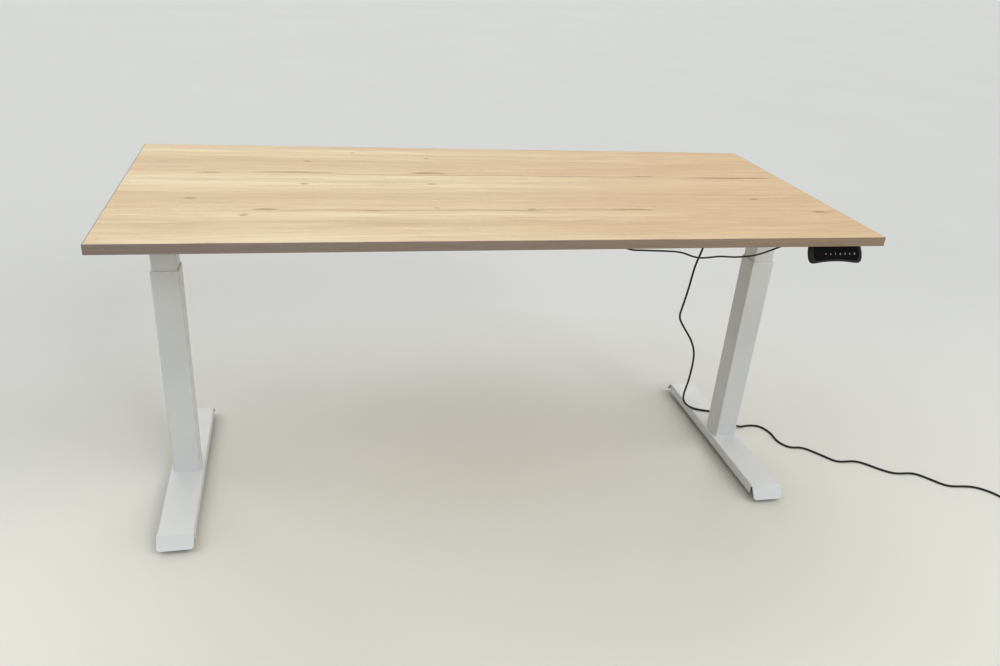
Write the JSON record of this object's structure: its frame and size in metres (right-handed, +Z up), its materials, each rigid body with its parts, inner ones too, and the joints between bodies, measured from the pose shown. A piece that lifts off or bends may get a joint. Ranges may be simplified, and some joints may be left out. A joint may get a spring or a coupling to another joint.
{
  "type": "height adjustable standing desk",
  "caption": "Rectangular oak-decor desk on motorised telescopic columns with T-feet, an under-edge key handset and a mains cord.",
  "frame": {"origin": "on the floor under the middle of the tabletop", "axes": "+X to the right along the desk's width, front is -Y (the handset's side), +Z up"},
  "size_m": [2.6679, 0.906, 0.842],
  "materials": {
    "oak_decor": "light oak melamine decor, matt, with a fine pore structure",
    "oak_edging": "oak-printed ABS edging, matt",
    "white_powder_coat": "white satin powder coat with fine orange peel",
    "white_plastic": "white moulded plastic",
    "die_cast": "as-cast, slightly rough",
    "motor_steel": "black painted motor can",
    "bright_steel": "ground and oiled",
    "zinc_steel": "zinc plated",
    "nut_plastic": "natural acetal",
    "black_plastic": "fine spark-eroded texture",
    "glide_rubber": "matt",
    "circuit_board": "solder mask",
    "cord_rubber": "satin PVC",
    "fascia_gloss": "polished",
    "key_gloss": "satin",
    "key_print": "white pad print",
    "plug_metal": "nickel plated"
  },
  "bodies": {
    "left_leg": {"left_foot": "white_powder_coat", "left_outer_tube": "white_powder_coat", "left_outer_collar": "white_plastic", "left_nut_tube": "bright_steel", "left_spindle_nut": "nut_plastic", "left_foot_bolts": "zinc_steel"},
    "top": {"tabletop": "oak_decor", "edge_bands_long": "oak_edging", "edge_bands_short": "oak_edging", "left_side_bracket": "white_powder_coat", "right_side_bracket": "white_powder_coat", "front_rail_outer": "white_powder_coat", "front_rail_inner": "white_powder_coat", "rear_rail_outer": "white_powder_coat", "rear_rail_inner": "white_powder_coat", "left_column_head": "white_powder_coat", "right_column_head": "white_powder_coat", "left_inner_tube": "white_powder_coat", "right_inner_tube": "white_powder_coat", "left_gearbox": "die_cast", "right_gearbox": "die_cast", "left_motor": "motor_steel", "right_motor": "motor_steel", "thrust_bearings": "bright_steel", "inner_tube_glides": "black_plastic", "control_box_base": "zinc_steel", "control_box_cover": "black_plastic", "control_board": "circuit_board", "mains_connector": "cord_rubber", "handset_housing": "black_plastic", "handset_fascia": "fascia_gloss", "handset_board": "circuit_board", "handset_gland": "cord_rubber", "handset_cable": "cord_rubber", "cable_clips": "black_plastic", "wood_screws": "zinc_steel", "frame_screws": "zinc_steel"},
    "right_leg": {"right_foot": "white_powder_coat", "right_outer_tube": "white_powder_coat", "right_outer_collar": "white_plastic", "right_nut_tube": "bright_steel", "right_spindle_nut": "nut_plastic", "right_foot_bolts": "zinc_steel", "mains_cord": "cord_rubber", "mains_coil": "cord_rubber", "mains_plug": "cord_rubber"},
    "left_spindle": {"left_spindle": "bright_steel"},
    "right_spindle": {"right_spindle": "bright_steel"},
    "glide_left_front": {"glide_left_front": "glide_rubber"},
    "glide_left_rear": {"glide_left_rear": "glide_rubber"},
    "glide_right_front": {"glide_right_front": "glide_rubber"},
    "glide_right_rear": {"glide_right_rear": "glide_rubber"},
    "key_up": {"key_up": "key_gloss"},
    "key_down": {"key_down": "key_gloss"},
    "key_1": {"key_1": "key_gloss"},
    "key_2": {"key_2": "key_gloss"},
    "key_3": {"key_3": "key_gloss"},
    "key_4": {"key_4": "key_gloss"},
    "key_memory": {"key_memory": "key_gloss"}
  },
  "joints": [
    {"name": "left_lift", "type": "slide", "parent": "left_leg", "child": "top", "axis": [0, 0, 1], "range_m": [-0.12, 0.36]},
    {"name": "right_lift", "type": "slide", "parent": "top", "child": "right_leg", "axis": [0, 0, -1], "range_m": [-0.12, 0.36], "deforming": ["mains_cord"]},
    {"name": "left_spindle_turn", "type": "hinge", "parent": "top", "child": "left_spindle", "pos_m": [-0.814, -0.008, 0.5], "axis": [0, 0, 1], "range_deg": [-3600, 10800]},
    {"name": "right_spindle_turn", "type": "hinge", "parent": "top", "child": "right_spindle", "pos_m": [0.814, -0.008, 0.5], "axis": [0, 0, 1], "range_deg": [-3600, 10800]},
    {"name": "left_front_level", "type": "slide", "parent": "left_leg", "child": "glide_left_front", "axis": [0, 0, -1], "range_m": [0, 0.008]},
    {"name": "left_rear_level", "type": "slide", "parent": "left_leg", "child": "glide_left_rear", "axis": [0, 0, -1], "range_m": [0, 0.008]},
    {"name": "right_front_level", "type": "slide", "parent": "right_leg", "child": "glide_right_front", "axis": [0, 0, -1], "range_m": [0, 0.008]},
    {"name": "right_rear_level", "type": "slide", "parent": "right_leg", "child": "glide_right_rear", "axis": [0, 0, -1], "range_m": [0, 0.008]},
    {"name": "key_up_press", "type": "slide", "parent": "top", "child": "key_up", "axis": [0, 0.891, -0.454], "range_m": [0, 0.0005], "stiffness_N_per_m": 2000, "springref_m": -0.0002},
    {"name": "key_down_press", "type": "slide", "parent": "top", "child": "key_down", "axis": [0, 0.891, -0.454], "range_m": [0, 0.0005], "stiffness_N_per_m": 2000, "springref_m": -0.0002},
    {"name": "key_1_press", "type": "slide", "parent": "top", "child": "key_1", "axis": [0, 0.891, -0.454], "range_m": [0, 0.0005], "stiffness_N_per_m": 2000, "springref_m": -0.0002},
    {"name": "key_2_press", "type": "slide", "parent": "top", "child": "key_2", "axis": [0, 0.891, -0.454], "range_m": [0, 0.0005], "stiffness_N_per_m": 2000, "springref_m": -0.0002},
    {"name": "key_3_press", "type": "slide", "parent": "top", "child": "key_3", "axis": [0, 0.891, -0.454], "range_m": [0, 0.0005], "stiffness_N_per_m": 2000, "springref_m": -0.0002},
    {"name": "key_4_press", "type": "slide", "parent": "top", "child": "key_4", "axis": [0, 0.891, -0.454], "range_m": [0, 0.0005], "stiffness_N_per_m": 2000, "springref_m": -0.0002},
    {"name": "key_memory_press", "type": "slide", "parent": "top", "child": "key_memory", "axis": [0, 0.891, -0.454], "range_m": [0, 0.0005], "stiffness_N_per_m": 2000, "springref_m": -0.0002}
  ],
  "couplings": [
    {"joint": "right_lift", "follows": "left_lift", "ratio": 1},
    {"joint": "left_spindle_turn", "follows": "left_lift", "rad_per_m": 523.6},
    {"joint": "right_spindle_turn", "follows": "left_lift", "rad_per_m": 523.6}
  ]
}
